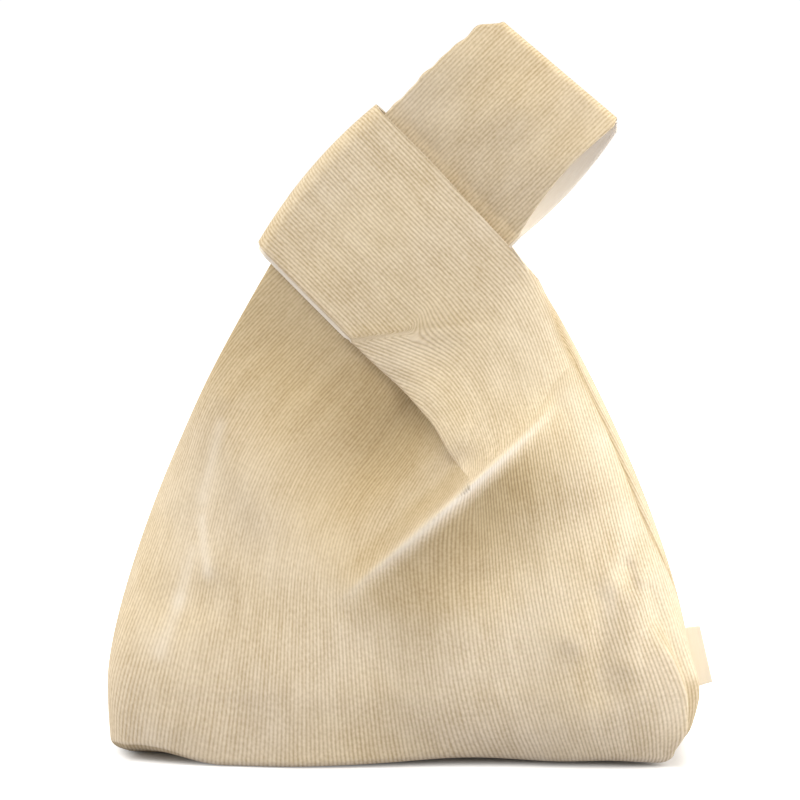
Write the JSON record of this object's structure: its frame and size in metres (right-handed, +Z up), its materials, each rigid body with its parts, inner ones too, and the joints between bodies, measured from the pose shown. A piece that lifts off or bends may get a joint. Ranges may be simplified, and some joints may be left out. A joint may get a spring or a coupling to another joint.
{
  "type": "bento bag",
  "caption": "Lined corduroy knot bag with a boxed base, standing, its long handle drawn through its short one to close it, with a blank woven label in the side seam.",
  "frame": {"origin": "middle of the footprint, on the floor that the bag stands on", "axes": "+Z up, -Y to the front, +X to the side with the label"},
  "size_m": [0.3166, 0.1002, 0.3844],
  "materials": {
    "corduroy": "fine-wale cotton corduroy, soft matt pile",
    "lining": "plain-weave cotton, matt",
    "thread": "spun sewing thread",
    "label": "blank woven tape, slight sheen"
  },
  "bodies": {
    "bag": {"outer_panel_front": "corduroy", "outer_panel_back": "corduroy", "lining_panel_front": "lining", "lining_panel_back": "lining", "side_seam_thread_left": "thread", "side_seam_thread_right": "thread", "corner_seam_thread_left": "thread", "corner_seam_thread_right": "thread", "base_seam_thread": "thread"},
    "short_handle": {"short_handle_front": "corduroy", "short_handle_back": "corduroy", "short_handle_lining_front": "lining", "short_handle_lining_back": "lining", "short_handle_end_thread": "thread"},
    "long_handle": {"long_handle_front": "corduroy", "long_handle_back": "corduroy", "long_handle_lining_front": "lining", "long_handle_lining_back": "lining"},
    "long_handle_loop": {"long_handle_loop_front": "corduroy", "long_handle_loop_back": "corduroy", "long_handle_loop_lining_front": "lining", "long_handle_loop_lining_back": "lining", "long_handle_end_thread": "thread"},
    "label": {"woven_label": "label"}
  },
  "joints": [
    {"name": "long_handle_draw", "type": "slide", "parent": "bag", "child": "long_handle", "axis": [0.7071, 0, 0.7071], "range_m": [-0.01, 0.005]},
    {"name": "long_handle_swing", "type": "hinge", "parent": "long_handle", "child": "long_handle_loop", "pos_m": [0.03628, 0, 0.31726], "axis": [0.7071, 0, -0.7071], "range_deg": [-80, 80]},
    {"name": "short_handle_slide", "type": "slide", "parent": "bag", "child": "short_handle", "axis": [0.7071, 0, 0.7071], "range_m": [0, 0.008]},
    {"name": "label_flap", "type": "hinge", "parent": "bag", "child": "label", "pos_m": [0.14686, 0, 0.054], "axis": [-0.1425, 0, 0.9898], "range_deg": [-70, 70], "stiffness_Nm_per_rad": 0.0005}
  ]
}
